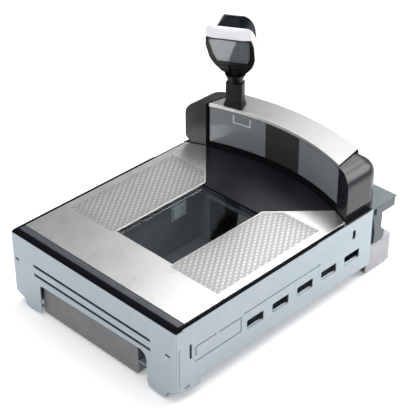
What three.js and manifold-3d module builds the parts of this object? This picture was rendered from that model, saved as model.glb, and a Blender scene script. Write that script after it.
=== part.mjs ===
// In-counter flatbed barcode scanner: a sheet-steel pan with a lift-off stainless platter and its glass,
// a low curved tower with upright glass behind the platter, and a swivelling scan head on a short pole.
// Millimetres. X runs left to right for the cashier, Y from the cashier to the customer, Z up.
// The origin is at the middle of the footprint, on the surface that the feet stand on.
import * as THREE from "three";
import { mergeVertices } from "three/addons/utils/BufferGeometryUtils.js";
import Module from "manifold-3d";

const wasm = await Module();
wasm.setup();

// ---- driving dimensions ----
const WIDTH = 292; // counter cut-out width that this class of scanner fits
const LENGTH = 404; // front panel to the back edge of the rear shelf
const PANEL_LENGTH = 355; // front panel to the end of the side panels
const TOP_Z = 107; // top edge of the sheet-steel pan
const PAN_Z = 22; // underside of the side panels and the floor pan
const PLATTER_Z = 110; // scanning surface
const SHEET = 1.5; // steel sheet thickness
const GAP = 0.4; // between pieces that touch on the real object

const HALF = WIDTH / 2;
const FRONT_Y = -200;
const BACK_Y = FRONT_Y + LENGTH;
const PANEL_END_Y = FRONT_Y + PANEL_LENGTH;

// platter and its glass
const PLATTER_HALF = 141.5;
const PLATTER_FRONT_Y = FRONT_Y + 19;
const PLATTER_THICK = 2;
const GLASS_HALF = 50; // half width of the opening in the platter
const GLASS_FRONT_Y = -110;
const GLASS_BACK_Y = 43;
const SHELF_CORNER_Y = 49; // where the dark rear cover starts to widen at 45 degrees

// tower: every long piece follows circles about one centre, in front of the tower
const ARC_Y = -166;
const FACE_R = 309; // outer face of the upright glass
const REAR_R = 350; // back of the tower
const PLATTER_REAR_R = 304;
const TOWER_HALF = 115; // half width between the end caps, at the glass
const END_TAPER = 0.2; // how far the tower's ends draw in for each millimetre towards the back
const CAP_END = 143; // outer side of the end caps
const TOWER_Z0 = 112;
const TOWER_Z1 = 175;
const CAP_Z = 109.6; // underside of the end caps
const PANE_SPLIT = 29; // half width of the dark centre panel
const ARC_STEPS = 20;

// scan head on its pole
const POLE = { x: -86.5, y: 142.5, width: 24, depth: 17, top: 210, facing: 25 };
const HEAD_FACING = 30; // degrees that the head is turned towards the middle of the platter
const TILT_Z = 233; // height of the head's tilt axis

// ---- colours ----
const finish = (color, roughness, metalness) =>
  new THREE.MeshStandardMaterial({ color, roughness, metalness });
const zincSteel = finish(0xbfcad0, 0.42, 0.6);
const stainless = finish(0xc9c8c4, 0.3, 0.9);
const blackRubber = finish(0x0c0d0f, 0.7, 0);
const darkPlastic = finish(0x36383c, 0.45, 0);
const capPlastic = finish(0x3d3c42, 0.5, 0);
const blackPlastic = finish(0x141517, 0.35, 0);
const greyHousing = finish(0x8c8a8f, 0.55, 0.1);
const darkSteel = finish(0x5a6264, 0.5, 0.5);
const whiteShell = finish(0xe6e4ea, 0.35, 0);
const tintedGlass = finish(0x3c4446, 0.08, 0);
const mirrorGlass = finish(0x9aa0a0, 0.05, 0.9);
const boardGreen = finish(0x1f4a36, 0.6, 0);
const lensBlack = finish(0x08090b, 0.15, 0);
const lampWhite = finish(0xd6dddf, 0.4, 0);

// ---- solids from three.js geometry, and booleans between them ----
function solid(geometry) {
  const g = geometry.clone();
  g.deleteAttribute("normal");
  g.deleteAttribute("uv");
  const merged = mergeVertices(g, 1e-4);
  return new wasm.Manifold(
    new wasm.Mesh({
      numProp: 3,
      vertProperties: merged.attributes.position.array,
      triVerts: new Uint32Array(merged.index.array),
    }),
  );
}

function geometryOf(manifold) {
  const mesh = manifold.getMesh();
  const g = new THREE.BufferGeometry();
  g.setAttribute("position", new THREE.BufferAttribute(mesh.vertProperties, 3));
  g.setIndex(new THREE.BufferAttribute(mesh.triVerts, 1));
  return g;
}

const join = (...solids) => solids.reduce((a, b) => a.add(b));
const cut = (base, ...tools) => tools.reduce((a, b) => a.subtract(b), base);

function box(x0, x1, y0, y1, z0, z1) {
  const g = new THREE.BoxGeometry(x1 - x0, y1 - y0, z1 - z0);
  g.translate((x0 + x1) / 2, (y0 + y1) / 2, (z0 + z1) / 2);
  return solid(g);
}

const outline = (points) => new THREE.Shape(points.map(([a, b]) => new THREE.Vector2(a, b)));
const extrude = (shape, depth, steps = 8) =>
  new THREE.ExtrudeGeometry(shape, { depth, bevelEnabled: false, curveSegments: steps });

// A shape drawn in X and Y, standing from z0 to z1.
function standing(shape, z0, z1, steps) {
  return solid(extrude(shape, z1 - z0, steps).translate(0, 0, z0));
}

// A shape drawn in Y and Z, running from x0 to x1.
function alongX(shape, x0, x1, steps) {
  const turn = new THREE.Matrix4().makeBasis(
    new THREE.Vector3(0, 1, 0),
    new THREE.Vector3(0, 0, 1),
    new THREE.Vector3(1, 0, 0),
  );
  return solid(extrude(shape, x1 - x0, steps).applyMatrix4(turn).translate(x0, 0, 0));
}

// A shape drawn in X and Z, running from y0 to y1.
function alongY(shape, y0, y1, steps) {
  return solid(extrude(shape, y1 - y0, steps).rotateX(Math.PI / 2).translate(0, y1, 0));
}

// A rectangle with round corners; corners are listed from low-low, anticlockwise.
function roundRect(a0, a1, b0, b1, radii) {
  const [r0, r1, r2, r3] = Array.isArray(radii) ? radii : [radii, radii, radii, radii];
  const s = new THREE.Shape();
  s.moveTo(a0 + r0, b0);
  s.lineTo(a1 - r1, b0);
  if (r1) s.absarc(a1 - r1, b0 + r1, r1, -Math.PI / 2, 0, false);
  s.lineTo(a1, b1 - r2);
  if (r2) s.absarc(a1 - r2, b1 - r2, r2, 0, Math.PI / 2, false);
  s.lineTo(a0 + r3, b1);
  if (r3) s.absarc(a0 + r3, b1 - r3, r3, Math.PI / 2, Math.PI, false);
  s.lineTo(a0, b0 + r0);
  if (r0) s.absarc(a0 + r0, b0 + r0, r0, Math.PI, Math.PI * 1.5, false);
  return s;
}

// A sphere stretched to three half-axes.
const ellipsoid = (centre, [a, b, c]) =>
  solid(new THREE.SphereGeometry(1, 28, 18).scale(a, b, c).translate(...centre));

function cylinder(radius, z0, z1, sides = 20) {
  const g = new THREE.CylinderGeometry(radius, radius, z1 - z0, sides);
  return solid(g.rotateX(Math.PI / 2).translate(0, 0, (z0 + z1) / 2));
}

const arcY = (r, x) => ARC_Y + Math.sqrt(r * r - x * x);

// Points along a tower circle from x0 to x1.
function arcPoints(r, x0, x1, steps = ARC_STEPS) {
  return Array.from({ length: steps + 1 }, (_, i) => {
    const x = x0 + ((x1 - x0) * i) / steps;
    return [x, arcY(r, x)];
  });
}

// The plan of a curved tower piece between two circles and two X limits.
const band = (rIn, rOut, x0, x1, steps) =>
  outline([...arcPoints(rIn, x0, x1, steps), ...arcPoints(rOut, x1, x0, steps)]);

// The same between the end caps, whose inner sides lean in towards the back.
function towerBand(rIn, rOut, clear) {
  const inner = TOWER_HALF - clear;
  const outer = inner - END_TAPER * (rOut - rIn);
  return outline([...arcPoints(rIn, inner, -inner), ...arcPoints(rOut, -outer, outer)]);
}

const model = new THREE.Group();

function add(name, manifold, material, parent = model) {
  const mesh = new THREE.Mesh(geometryOf(manifold), material);
  mesh.name = name;
  parent.add(mesh);
  return mesh;
}

const SIDES = [
  ["left", -1],
  ["right", 1],
];

// A solid made for the right-hand side, or its mirror image for the left.
const onSide = (manifold, sign) => (sign > 0 ? manifold : manifold.mirror([1, 0, 0]));

// ---- sheet-steel pan ----
const LEG = { inner: 97, outer: 131, waist: 12, foot: 3.4 };
const CUTOUT_TOP = [49, 53]; // the front cut-out's upper edge, at its left and right ends
const FRONT_SLOTS_Z = [74.5, 61];
const FRONT_SLOT = { x0: -107, x1: 104.5, height: 4.2 };

function frontPanel() {
  const s = new THREE.Shape();
  s.moveTo(-HALF, TOP_Z);
  s.lineTo(-HALF, PAN_Z - 5);
  s.lineTo(-LEG.outer, LEG.waist);
  s.lineTo(-LEG.outer + 4, LEG.foot);
  s.lineTo(-LEG.inner - 4, LEG.foot);
  s.lineTo(-LEG.inner, LEG.foot + 8);
  s.lineTo(-LEG.inner, CUTOUT_TOP[0] - 6);
  s.absarc(-LEG.inner + 6, CUTOUT_TOP[0] - 6, 6, Math.PI, Math.PI / 2, true);
  s.lineTo(LEG.inner - 12, CUTOUT_TOP[1]);
  s.absarc(LEG.inner - 12, CUTOUT_TOP[1] - 12, 12, Math.PI / 2, 0, true);
  s.lineTo(LEG.inner, LEG.foot + 8);
  s.lineTo(LEG.inner + 4, LEG.foot);
  s.lineTo(LEG.outer - 4, LEG.foot);
  s.lineTo(LEG.outer, LEG.waist);
  s.lineTo(HALF, PAN_Z);
  s.lineTo(HALF, TOP_Z);
  s.closePath();
  for (const z of FRONT_SLOTS_Z) {
    const h = FRONT_SLOT.height / 2;
    s.holes.push(roundRect(FRONT_SLOT.x0, FRONT_SLOT.x1, z - h, z + h, h - 0.1));
  }
  for (const x of [-139, 133]) s.holes.push(roundRect(x - 4, x + 4, 67.5, 70.5, 1.4));
  const face = alongY(s, FRONT_Y, FRONT_Y + SHEET, 6);
  const tabs = SIDES.map(([, sign]) =>
    onSide(box(109, 125, FRONT_Y, FRONT_Y + 14, LEG.foot - SHEET, LEG.foot + 0.1), sign),
  );
  const flange = box(-HALF + 3, HALF - 3, FRONT_Y, FRONT_Y + 9, TOP_Z - SHEET, TOP_Z);
  return join(face, flange, ...tabs);
}
add("front_panel", frontPanel(), zincSteel);

const VENT = { first: -80.5, pitch: 45.5, count: 5, length: 29.5, z0: 46, z1: 59.5 };
const TRIM_STEP_Y = 46; // the side gasket narrows behind this point
const EMBOSS = { y0: -168.5, y1: -90, z0: 48.5, z1: 72, depth: 0.9, width: 2.4 };
const LINE = { y0: -86.5, y1: 53, z: 74.5 };

// The right-hand side panel: vents with a turned-in lower lip, pressed lines and a foot at the front.
function sidePanel() {
  const y0 = FRONT_Y + SHEET + GAP;
  const s = new THREE.Shape();
  s.moveTo(y0, TOP_Z - GAP - SHEET);
  s.lineTo(y0, PAN_Z);
  s.quadraticCurveTo(y0 + 8, PAN_Z - 9, y0 + 20, PAN_Z - 10.5);
  s.lineTo(y0 + 38, PAN_Z - 10.5);
  s.lineTo(y0 + 38, PAN_Z);
  s.lineTo(PANEL_END_Y, PAN_Z);
  s.lineTo(PANEL_END_Y, TOP_Z);
  s.lineTo(y0 + 10, TOP_Z);
  s.lineTo(y0 + 10, TOP_Z - GAP - SHEET);
  s.closePath();
  for (let i = 0; i < VENT.count; i++) {
    const v = VENT.first + i * VENT.pitch;
    s.holes.push(roundRect(v, v + VENT.length, VENT.z0, VENT.z1, 1.5));
  }
  s.holes.push(roundRect(-177.2, -173.6, 57.5, 79, 1));
  s.holes.push(roundRect(-185.5, -177.5, 17.8, 21.2, 1.6));
  s.holes.push(roundRect(115.5, 121.5, 79.5, 93, 2));
  const outer = HALF;
  const inner = HALF - SHEET;
  const face = alongX(s, inner, outer, 4);
  const groove = (a0, a1, b0, b1) => box(outer - EMBOSS.depth, outer + 1, a0, a1, b0, b1);
  const w = EMBOSS.width;
  const grooves = [
    groove(EMBOSS.y0, EMBOSS.y0 + 35, EMBOSS.z1 - w, EMBOSS.z1),
    groove(EMBOSS.y0 + 40, EMBOSS.y1, EMBOSS.z1 - w, EMBOSS.z1),
    groove(EMBOSS.y0, EMBOSS.y1, EMBOSS.z0, EMBOSS.z0 + w),
    groove(EMBOSS.y0, EMBOSS.y0 + w, EMBOSS.z1 - 14, EMBOSS.z1),
    groove(EMBOSS.y1 - w, EMBOSS.y1, EMBOSS.z0, EMBOSS.z1),
    groove(LINE.y0, LINE.y1, LINE.z - w, LINE.z),
  ];
  const topFlange = box(outer - 10, outer, y0 + 10, PANEL_END_Y, TOP_Z - SHEET, TOP_Z);
  const floorFlange = box(outer - 12, outer, y0 + 40, PANEL_END_Y - 2, PAN_Z, PAN_Z + SHEET);
  const rib = box(inner, outer + 0.6, -194, -190.5, PAN_Z + 3, 79);
  const lips = Array.from({ length: VENT.count }, (_, i) => {
    const v = VENT.first + i * VENT.pitch;
    const flap = outline([
      [inner + 0.2, VENT.z0 - 1.5],
      [inner + 0.2, VENT.z0],
      [inner - 1.6, VENT.z0 + 0.8],
      [inner - 2.1, VENT.z0 - 0.6],
    ]);
    return alongY(flap, v + 0.5, v + VENT.length - 0.5);
  });
  return join(cut(face, ...grooves), topFlange, floorFlange, rib, ...lips);
}

for (const [side, sign] of SIDES) add(`side_panel_${side}`, onSide(sidePanel(), sign), zincSteel);

const REAR_PORTS = { x0: -60, x1: 60, z0: 52, z1: 78 };

function rearPanel() {
  const inner = HALF - SHEET - GAP;
  const s = outline([
    [-inner, PAN_Z + SHEET + GAP],
    [inner, PAN_Z + SHEET + GAP],
    [inner, TOP_Z - SHEET - GAP],
    [-inner, TOP_Z - SHEET - GAP],
  ]);
  s.holes.push(roundRect(REAR_PORTS.x0, REAR_PORTS.x1, REAR_PORTS.z0, REAR_PORTS.z1, 3));
  for (let i = 0; i < 6; i++) {
    for (const sign of [-1, 1]) {
      const x = sign * (82 + i * 9);
      s.holes.push(roundRect(x - 1.6, x + 1.6, 56, 90, 1.5));
    }
  }
  return alongY(s, PANEL_END_Y - 2 - SHEET, PANEL_END_Y - 2, 4);
}
add("rear_panel", rearPanel(), zincSteel);

// the grey lower housing drops through the floor pan
const TUB = { x0: -99, x1: 76, y0: FRONT_Y + 6, y1: 148, z0: 3.5, z1: 50, wall: 2.5 };

function floorPan() {
  const inner = HALF - SHEET - GAP;
  const plate = box(-inner, inner, FRONT_Y + SHEET + GAP, PANEL_END_Y - 4, PAN_Z + SHEET + GAP, PAN_Z + 3.4);
  const clear = box(TUB.x0 - GAP, TUB.x1 + GAP, TUB.y0 - GAP, TUB.y1 + GAP, 0, 40);
  const notch = box(-LEG.inner, LEG.inner, FRONT_Y, TUB.y0 + GAP, 0, 40);
  return cut(plate, clear, notch);
}
add("floor_pan", floorPan(), zincSteel);

function lowerHousing() {
  const { x0, x1, y0, y1, z0, z1, wall } = TUB;
  const outer = alongY(roundRect(x0, x1, z0, z1, [4, 4, 0, 0]), y0, y1, 4);
  return cut(outer, box(x0 + wall, x1 - wall, y0 + wall, y1 - wall, z0 + wall, z1 + 1));
}
add("lower_housing", lowerHousing(), greyHousing);

// ---- rear end ----
const REAR_BOX = { half: 141, y0: PANEL_END_Y + GAP, y1: BACK_Y, z0: 2, z1: 46, wall: 2.5 };
const SOCKETS = [
  { name: "power_socket", x: -100, width: 20, height: 13 },
  { name: "data_socket", x: -62, width: 15, height: 13 },
];
const SOCKET_Z = 16;

function rearHousing() {
  const { half, y0, y1, z0, z1, wall } = REAR_BOX;
  const outer = alongY(roundRect(-half, half, z0, z1, 2.5), y0, y1, 4);
  const inside = box(-half + wall, half - wall, y0 - 1, y1 - wall, z0 + wall, z1 - wall);
  const holes = SOCKETS.map(({ x, width, height }) => {
    const across = width / 2 + GAP;
    return box(x - across, x + across, y1 - wall - 1, y1 + 1, SOCKET_Z - GAP, SOCKET_Z + height + GAP);
  });
  return cut(outer, inside, ...holes);
}
add("rear_housing", rearHousing(), greyHousing);

for (const { name, x, width, height } of SOCKETS) {
  const half = width / 2;
  const top = SOCKET_Z + height;
  const body = box(x - half, x + half, BACK_Y - 16, BACK_Y - 0.5, SOCKET_Z, top);
  const mouth = box(x - half + 2, x + half - 2, BACK_Y - 11, BACK_Y + 1, SOCKET_Z + 2, top - 2);
  add(name, cut(body, mouth), blackPlastic);
}

function rearShelf() {
  const plate = box(-HALF, HALF, PANEL_END_Y + GAP, BACK_Y, TOP_Z - 2, TOP_Z);
  const flanges = SIDES.map(([, sign]) =>
    onSide(box(HALF - 2, HALF, PANEL_END_Y + 8, BACK_Y - 3, TOP_Z - 14, TOP_Z - 1), sign),
  );
  const back = box(-HALF + 12, HALF - 12, BACK_Y - 3.5, BACK_Y - 1.5, TOP_Z - 22, TOP_Z - 1);
  return join(plate, back, ...flanges);
}
add("rear_shelf", rearShelf(), darkSteel);

// the hanger that hooks the shelf to the rear of the pan
function rearHanger() {
  const s = outline([
    [PANEL_END_Y + 2, TOP_Z - 2 - GAP],
    [PANEL_END_Y + 10, 66],
    [PANEL_END_Y + 9, 50],
    [PANEL_END_Y + 14, 47],
    [PANEL_END_Y + 26, 47],
    [PANEL_END_Y + 30, 52],
    [PANEL_END_Y + 30, 61],
    [PANEL_END_Y + 24, 67],
    [PANEL_END_Y + 24, 90],
    [PANEL_END_Y + 32, TOP_Z - 2 - GAP],
  ]);
  return alongX(s, HALF - 9, HALF - 2.4);
}
for (const [side, sign] of SIDES) add(`rear_hanger_${side}`, onSide(rearHanger(), sign), darkSteel);

// ---- feet ----
const FOOT_HEIGHT = 1.6;
const FEET = [
  ["foot_front_left", -117, FRONT_Y + 7.5],
  ["foot_front_right", 117, FRONT_Y + 7.5],
  ["foot_rear_left", -122, BACK_Y - 20],
  ["foot_rear_right", 122, BACK_Y - 20],
];
for (const [name, x, y] of FEET) {
  add(name, standing(roundRect(x - 7, x + 7, y - 5.5, y + 5.5, 2), 0, FOOT_HEIGHT, 3), blackRubber);
}

// ---- gaskets and front trim round the platter ----
function frontGasket() {
  const s = outline([
    [FRONT_Y, TOP_Z + GAP],
    [FRONT_Y + 9, TOP_Z + GAP],
    [FRONT_Y + 9, PLATTER_Z - 0.6],
    [FRONT_Y + 6.5, PLATTER_Z - 0.3],
    [FRONT_Y + 3, PLATTER_Z - 0.9],
    [FRONT_Y + 0.8, PLATTER_Z - 1.9],
  ]);
  return alongX(s, -HALF, HALF);
}
add("front_gasket", frontGasket(), blackRubber);

function frontTrim() {
  const y0 = FRONT_Y + 9 + GAP;
  const s = outline([
    [y0, TOP_Z + GAP],
    [PLATTER_FRONT_Y - 1, TOP_Z + GAP],
    [PLATTER_FRONT_Y - 1, PLATTER_Z],
    [y0 + 1.5, PLATTER_Z],
    [y0, PLATTER_Z - 0.6],
  ]);
  return alongX(s, -PLATTER_HALF, PLATTER_HALF);
}
add("front_trim", frontTrim(), darkPlastic);

// The right-hand gasket: full width beside the platter's front part, narrower behind the step.
function sideGasket() {
  const end = arcY(PLATTER_REAR_R, HALF) - 1;
  const y0 = FRONT_Y + 9 + GAP;
  const s = outline([
    [PLATTER_HALF + 1, y0],
    [HALF, y0],
    [HALF, TRIM_STEP_Y],
    [HALF - 1.4, TRIM_STEP_Y],
    [HALF - 1.4, end],
    [PLATTER_HALF + 1, end],
  ]);
  return standing(s, TOP_Z + GAP, PLATTER_Z - 0.6);
}
for (const [side, sign] of SIDES) add(`side_gasket_${side}`, onSide(sideGasket(), sign), blackRubber);

// ---- platter carrier and the pads that the platter rests on ----
const CARRIER = { half: 132, y0: -176, y1: 74, z0: 96, z1: 102, rim: 14 };

function platterCarrier() {
  const { half, y0, y1, z0, z1, rim } = CARRIER;
  const s = roundRect(-half, half, y0, y1, 10);
  s.holes.push(roundRect(-half + rim, -70, y0 + rim, y1 - rim, 6));
  s.holes.push(roundRect(70, half - rim, y0 + rim, y1 - rim, 6));
  s.holes.push(roundRect(-61, 61, -122, 55, 3));
  s.holes.push(roundRect(-61, 61, y0 + rim, -131, 5));
  return standing(s, z0, z1, 3);
}
add("platter_carrier", platterCarrier(), darkSteel);

const PADS = [
  ["front_left", -122, -166],
  ["front_right", 122, -166],
  ["rear_left", -122, 64],
  ["rear_right", 122, 64],
];
for (const [corner, x, y] of PADS) {
  const pad = cylinder(6, CARRIER.z1 + 0.3, PLATTER_Z - PLATTER_THICK - 0.3, 16).translate([x, y, 0]);
  add(`platter_pad_${corner}`, pad, blackRubber);
}

// ---- platter: lifts off as one ----
// the platter's outer rear corner, and the corner where its 45-degree edge meets the tower
const shelfEnd = () => {
  const x = 114.6;
  return [x, arcY(PLATTER_REAR_R, x)];
};

function platterPlate() {
  const [endX, endY] = shelfEnd();
  const rear = arcPoints(PLATTER_REAR_R, PLATTER_HALF, endX, 4);
  const edge = [
    [endX, endY],
    [GLASS_HALF, SHELF_CORNER_Y],
    [GLASS_HALF, GLASS_FRONT_Y],
  ];
  const right = [...rear.slice(0, -1), ...edge];
  const left = right.map(([x, y]) => [-x, y]).reverse();
  const s = outline([[-PLATTER_HALF, PLATTER_FRONT_Y], [PLATTER_HALF, PLATTER_FRONT_Y], ...right, ...left]);
  const plate = standing(s, PLATTER_Z - PLATTER_THICK, PLATTER_Z);
  const ribX = PLATTER_HALF - 6.5; // the stiffening ribs under the plate stand in from its edge
  const rib = (x0, x1, y0, y1) => box(x0, x1, y0, y1, TOP_Z - 4, PLATTER_Z - 1);
  const front = rib(-ribX, ribX, PLATTER_FRONT_Y, PLATTER_FRONT_Y + 1.5);
  const lip = box(-PLATTER_HALF, PLATTER_HALF, PLATTER_FRONT_Y, PLATTER_FRONT_Y + 1.5, TOP_Z, PLATTER_Z - 1);
  const edges = SIDES.map(([, sign]) => onSide(rib(ribX - 1, ribX + 0.5, PLATTER_FRONT_Y, 96), sign));
  return join(plate, front, lip, ...edges);
}
const platter = new THREE.Group();
model.add(platter);
add("platter_plate", platterPlate(), stainless, platter);

function rearCover() {
  const x1 = shelfEnd()[0] - 1;
  const arc = arcPoints(PLATTER_REAR_R, x1, -x1);
  const edge = GLASS_HALF - 0.2;
  const s = outline([
    [-edge, GLASS_BACK_Y],
    [edge, GLASS_BACK_Y],
    [edge, SHELF_CORNER_Y + 0.7],
    ...arc,
    [-edge, SHELF_CORNER_Y + 0.7],
  ]);
  return standing(s, PLATTER_Z - 3, PLATTER_Z - 0.2);
}
add("platter_rear_cover", rearCover(), darkPlastic, platter);

const GLASS_Z = [PLATTER_Z - 4.6, PLATTER_Z - 0.9];

function windowFrame() {
  const outer = box(-56, 56, GLASS_FRONT_Y - 6, GLASS_BACK_Y - 0.4, 103, PLATTER_Z - PLATTER_THICK - 0.3);
  const pocket = box(-49.4, 49.4, GLASS_FRONT_Y + 0.6, GLASS_BACK_Y - 2, GLASS_Z[0] - 0.3, 200);
  const sight = box(-47, 47, GLASS_FRONT_Y + 3, GLASS_BACK_Y - 4.5, 0, 200);
  return cut(outer, pocket, sight);
}
add("window_frame", windowFrame(), blackPlastic, platter);

const pane = roundRect(-49, 49, GLASS_FRONT_Y + 1, GLASS_BACK_Y - 2.4, 2);
add("platter_window", standing(pane, ...GLASS_Z, 3), tintedGlass, platter);

// ---- optics under the platter ----
const WELL = { half: 63, y0: -117, y1: 49, z0: 16, z1: 95.6, wall: 2.5 };
const WELL_DOOR = { x0: -41, x1: 48, z0: 22, z1: 90 };
const WELL_LAMP = { y0: -5, y1: 23, z0: 67, z1: 90 };

// The well under the glass, with an open doorway to the rear mirror.
function opticsWell() {
  const { half, y0, y1, z0, z1, wall } = WELL;
  const outer = box(-half, half, y0, y1, z0, z1);
  const inside = box(-half + wall, half - wall, y0 + wall, y1 - wall, z0 + wall, z1 + 1);
  const door = box(WELL_DOOR.x0, WELL_DOOR.x1, y1 - wall - 1, y1 + 1, WELL_DOOR.z0, WELL_DOOR.z1);
  const lamp = box(-half - 1, -half + wall + 1, WELL_LAMP.y0, WELL_LAMP.y1, WELL_LAMP.z0, WELL_LAMP.z1);
  return cut(outer, inside, door, lamp);
}
add("optics_well", opticsWell(), darkPlastic);

function wellLamp() {
  const x = -WELL.half;
  const { y0, y1, z0, z1 } = WELL_LAMP;
  const block = box(x - 8, x + 3.2, y0 + 0.5, y1 - 0.5, z0 + 0.5, z1 - 0.5);
  return join(block, box(x + 3, x + 4.6, y0 + 3, y1 - 3, z0 + 3, z1 - 3));
}
add("well_lamp", wellLamp(), lampWhite);

const mirror = (width, height) => box(-width / 2, width / 2, -1, 1, -height / 2, height / 2);

function place(mesh, x, y, z, turnX, turnZ) {
  mesh.position.set(x, y, z);
  mesh.rotation.set(THREE.MathUtils.degToRad(turnX), 0, THREE.MathUtils.degToRad(turnZ), "ZYX");
  return mesh;
}
place(add("rear_mirror", mirror(62, 66), mirrorGlass), 6, 92, 58, -14, 8);

// A camera with its lens barrel towards -Y.
function cameraBlock(w, d, h) {
  const barrel = cylinder(h * 0.32, 0, 7, 18).rotate([90, 0, 0]).translate([0, 0.5, 0]);
  return join(box(-w / 2, w / 2, 0, d, -h / 2, h / 2), barrel);
}
place(add("well_camera", cameraBlock(30, 18, 20), lensBlack), 10, -96.2, 38, 0, 180);
add("main_board", box(TUB.x0 + 6, TUB.x1 - 6, -185, 120, TUB.z0 + 5.5, TUB.z0 + 7.1), boardGreen);

// ---- tower ----
function towerBase() {
  const wide = HALF - 0.5;
  const flange = outline([
    ...arcPoints(PLATTER_REAR_R + 1.5, wide, -wide),
    [-wide, PANEL_END_Y - 2],
    [wide, PANEL_END_Y - 2],
  ]);
  const plinth = towerBand(PLATTER_REAR_R + 1.5, REAR_R + 1, 0.2);
  return join(standing(flange, TOP_Z + 0.3, CAP_Z - GAP), standing(plinth, TOP_Z + 0.3, TOWER_Z0 - 0.4));
}
add("tower_base", towerBase(), blackPlastic);

const PANE_Z = [TOWER_Z0 + 4, TOWER_Z1 - 5.3];
const FRAME_R = FACE_R + 3;

// The carrier behind the panes, with a sill below them and an opening behind each outer pane.
function towerFrame() {
  const ends = TOWER_HALF - 1;
  const wall = standing(towerBand(FRAME_R + GAP, FRAME_R + 4, 1), TOWER_Z0, TOWER_Z1 - 3.2);
  const sill = standing(towerBand(FACE_R, FRAME_R + 1, 1), TOWER_Z0, PANE_Z[0] - GAP);
  const openings = SIDES.map(([, sign]) =>
    onSide(
      standing(band(FRAME_R - 1, FRAME_R + 8, PANE_SPLIT + 4, ends - 6), PANE_Z[0] + 3, PANE_Z[1] - 3),
      sign,
    ),
  );
  return cut(join(wall, sill), ...openings);
}
add("tower_frame", towerFrame(), blackPlastic);

for (const [side, sign] of SIDES) {
  const glass = standing(band(FACE_R, FRAME_R, PANE_SPLIT + 0.4, TOWER_HALF - 1.2, 10), ...PANE_Z);
  add(`tower_window_${side}`, onSide(glass, sign), tintedGlass);
}
const centre = band(FACE_R, FRAME_R, -PANE_SPLIT, PANE_SPLIT, 8);
add("tower_centre_panel", standing(centre, ...PANE_Z), blackPlastic);

const rearWall = towerBand(REAR_R - 4, REAR_R, 8.6);
add("tower_rear_shell", standing(rearWall, TOWER_Z0, TOWER_Z1 - 3.2), capPlastic);

function towerTop() {
  const plate = standing(towerBand(FACE_R - 0.8, REAR_R + 0.8, 1.2), TOWER_Z1 - 2.8, TOWER_Z1);
  const lip = standing(towerBand(FACE_R - 0.8, FACE_R + 1, 1.4), TOWER_Z1 - 5, TOWER_Z1 - 2);
  return join(plate, lip);
}
add("tower_top_cover", towerTop(), stainless);

for (const [side, sign] of SIDES) {
  const x = sign * 68;
  const glass = add(`tower_mirror_${side}`, mirror(60, 44), mirrorGlass);
  place(glass, x, arcY(FRAME_R + 19, x), 143, 10, -sign * 12);
}
const lampX = -78;
const towerLamp = join(box(-10, 10, 0, 6, -5, 5), box(-10, -7, -1.5, 1, -5, 5), box(7, 10, -1.5, 1, -5, 5));
place(add("tower_lamp", towerLamp, lampWhite), lampX, arcY(FRAME_R + 6, lampX), 159, 0, 14);
place(add("tower_camera", cameraBlock(24, 12, 16), lensBlack), 0, arcY(FRAME_R + 15, 0), 140, 0, 0);

// End caps: hollow shells, open towards the tower, whose sides lean in towards the back.
const CAP = {
  wall: 2.6,
  frontR: FACE_R - 3.5, // the caps stand a little forward of the glass
  backY: 172,
  corner: 25, // plan radius at the outer rear
  round: 19, // radius of the upper edge
  footIn: 7, // how far the lower edge draws in
  footHeight: 17,
};
const BUTTONS = [
  { name: "volume_button", x: 134, z: 131 },
  { name: "tone_button", x: 128, z: 122 },
];
const BUTTON = { width: 9, height: 4.4, depth: 7, proud: 0.7, travel: 1.2 };

// A block with a round upper edge, drawn in by inset all round.
function roundedBlock(inset) {
  const r = CAP.round - inset;
  const edge = CAP_END - CAP.round;
  const back = CAP.backY - CAP.round;
  const plan = roundRect(20, edge, 20, back, [0, 0, CAP.corner - CAP.round, 0]);
  const g = new THREE.ExtrudeGeometry(plan, {
    depth: 100,
    bevelSize: r,
    bevelThickness: r,
    bevelSegments: 7,
    curveSegments: 5,
  });
  return solid(g.translate(0, 0, TOWER_Z1 - CAP.round - 100));
}

// The cap seen from the front, with its lower edge drawn in.
function capFront(inset) {
  const z0 = CAP_Z + inset;
  const edge = CAP_END + 1 - inset;
  const s = new THREE.Shape();
  s.moveTo(40, z0);
  s.lineTo(edge - CAP.footIn, z0);
  s.lineTo(edge - CAP.footIn, z0 + 3);
  s.quadraticCurveTo(edge - 1, z0 + 8, edge, z0 + CAP.footHeight);
  s.lineTo(edge, 200);
  s.lineTo(40, 200);
  return s;
}

function capBlock(inset, clear) {
  const inner = TOWER_HALF + clear;
  const front = CAP.frontR + inset;
  const lean = END_TAPER * (CAP.backY + 20 - arcY(FACE_R, inner));
  const plan = outline([
    ...arcPoints(front, inner, CAP_END + 5, 8),
    [CAP_END + 5, CAP.backY + 20],
    [inner - lean, CAP.backY + 20],
  ]);
  return roundedBlock(inset)
    .intersect(alongY(capFront(inset), 60, 220, 6))
    .intersect(standing(plan, 90, 200));
}

// the turn of a cap's front face at x, about Z
const facingDegrees = (x) => THREE.MathUtils.radToDeg(Math.asin(x / CAP.frontR));

// A pill-shaped plunger, made at the origin with its face towards -Y.
const plunger = (grow, travel = 0) =>
  alongY(
    roundRect(
      -BUTTON.width / 2 - grow,
      BUTTON.width / 2 + grow,
      -BUTTON.height / 2 - grow,
      BUTTON.height / 2 + grow,
      BUTTON.height / 2 - 0.1 + grow,
    ),
    -BUTTON.proud,
    BUTTON.depth + travel,
    5,
  );

const inFace = (manifold, x, z) =>
  manifold.rotate([0, 0, -facingDegrees(x)]).translate([x, arcY(CAP.frontR, x), z]);

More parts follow.
